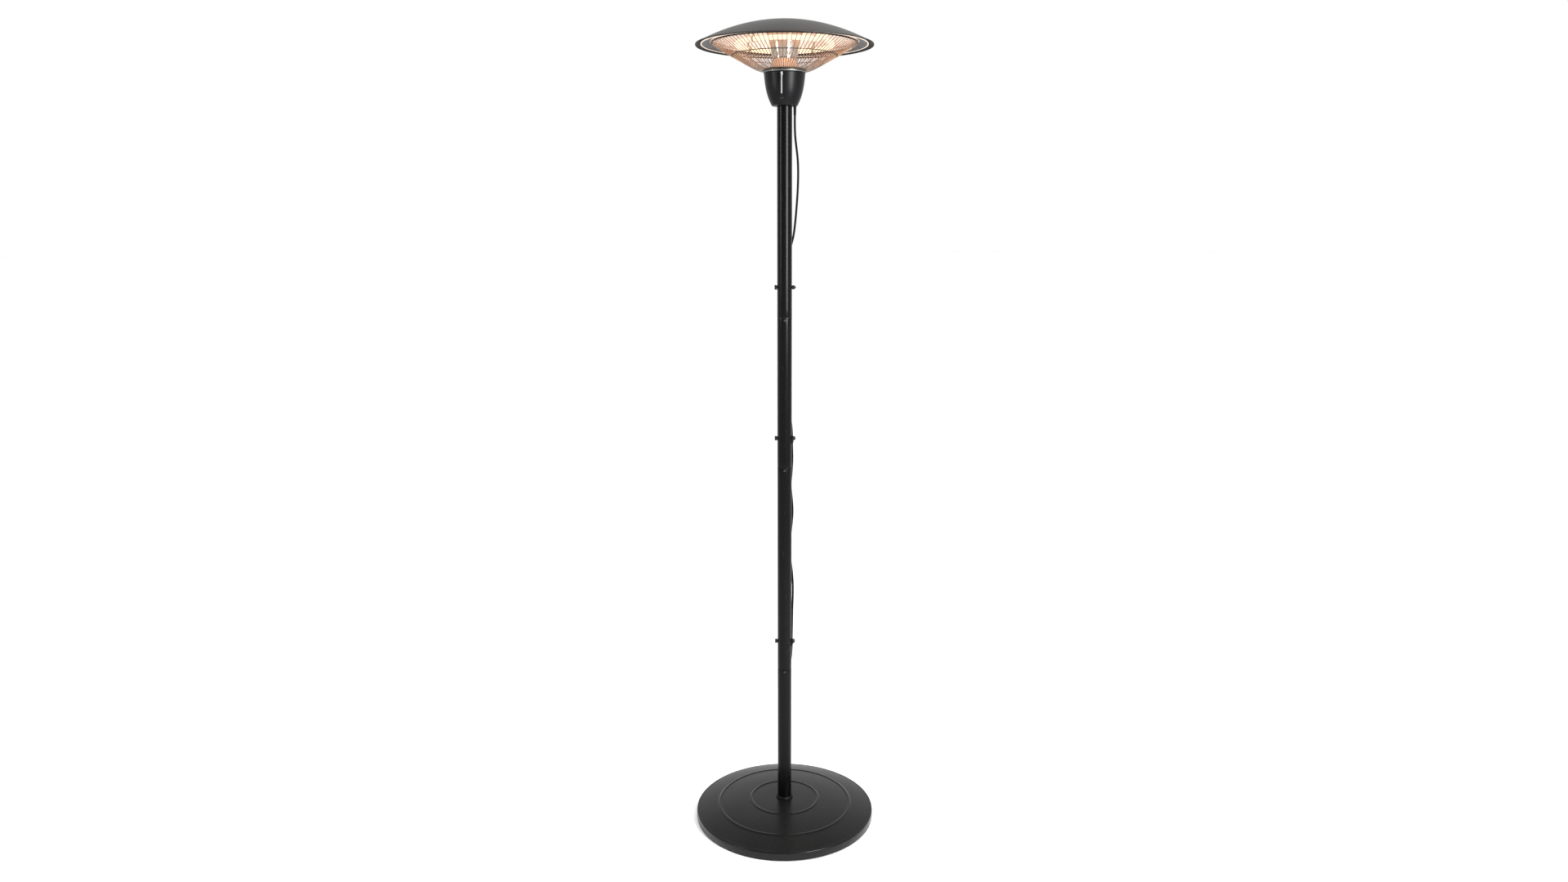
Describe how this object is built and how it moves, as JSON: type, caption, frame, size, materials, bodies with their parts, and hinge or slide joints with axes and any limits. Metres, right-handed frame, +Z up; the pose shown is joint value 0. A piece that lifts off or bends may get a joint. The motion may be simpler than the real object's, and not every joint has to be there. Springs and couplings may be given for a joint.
{
  "type": "outdoor heater",
  "caption": "Free-standing electric patio heater: round weighted base, slim tall pole, bowl housing with pull switch, wide shallow hood over a ring lamp behind a wire guard.",
  "frame": {"origin": "on the floor at the centre of the round base, under the pole", "axes": "+Z up along the pole; the pull cord hangs on the -Y side; +X to the right seen from that side"},
  "size_m": [0.492, 0.492, 2.1266],
  "materials": {
    "black_paint": "satin black powder coat",
    "concrete": "cast concrete",
    "black_plastic": "moulded black plastic",
    "foot_rubber": "soft black rubber",
    "steel": "plain zinc plated steel",
    "black_bolt": "black finished fastener",
    "housing_plastic": "satin black paint on deep-drawn steel",
    "cord_rubber": "black cable sheath",
    "ceramic": "unglazed technical ceramic",
    "chrome": "bright plated",
    "pull_cord_nylon": "braided nylon",
    "polished_aluminium": "mirror polished",
    "lamp_glow": "glowing quartz tube",
    "lead_sleeve": "silicone sleeved lead",
    "grey_paint": "satin dark grey paint",
    "guard_wire": "bright plated steel wire"
  },
  "bodies": {
    "heater": {"base_cover": "black_paint", "base_weight": "concrete", "base_tray": "black_plastic", "rubber_foot_1": "foot_rubber", "rubber_foot_2": "foot_rubber", "rubber_foot_3": "foot_rubber", "rubber_foot_4": "foot_rubber", "base_washer": "steel", "base_bolt": "steel", "pole_section_1": "black_paint", "pole_section_2": "black_paint", "pole_section_3": "black_paint", "pole_section_4": "black_paint", "coupling_sleeve_1": "steel", "coupling_rivet_1": "black_bolt", "coupling_sleeve_2": "steel", "coupling_rivet_2": "black_bolt", "coupling_sleeve_3": "steel", "coupling_rivet_3": "black_bolt", "pole_foot_plug": "steel", "foot_collar": "black_plastic", "cross_bolt_1": "black_bolt", "cross_nut_1": "black_bolt", "cord_clip_1": "black_plastic", "cross_bolt_2": "black_bolt", "cross_nut_2": "black_bolt", "cord_clip_2": "black_plastic", "cross_bolt_3": "black_bolt", "cross_nut_3": "black_bolt", "housing_cup": "housing_plastic", "flange_plate": "steel", "head_spigot": "steel", "cord_relief": "cord_rubber", "pull_switch": "black_plastic", "terminal_block": "ceramic", "tilt_switch": "black_plastic", "thermal_cutout": "ceramic", "pull_guide": "chrome", "reflector_dish": "polished_aluminium", "reflector_column": "polished_aluminium", "lamp_tube": "lamp_glow", "lamp_holder_1": "ceramic", "lamp_lead_1": "lead_sleeve", "lamp_holder_2": "ceramic", "lamp_lead_2": "lead_sleeve", "lamp_clip_1": "steel", "hood_standoff_1": "steel", "lamp_clip_2": "steel", "hood_standoff_2": "steel", "lamp_clip_3": "steel", "hood_standoff_3": "steel", "hood_shell": "grey_paint", "tie_rod": "steel", "hood_screw": "steel", "wire_guard": "guard_wire", "mains_cord": "cord_rubber", "mains_plug": "cord_rubber"},
    "pull_cord": {"pull_cord": "pull_cord_nylon", "pull_knob": "black_plastic"}
  },
  "joints": [
    {"name": "pull_switch_travel", "type": "slide", "parent": "heater", "child": "pull_cord", "axis": [0, 0, -1], "range_m": [0, 0.008], "stiffness_N_per_m": 400}
  ]
}
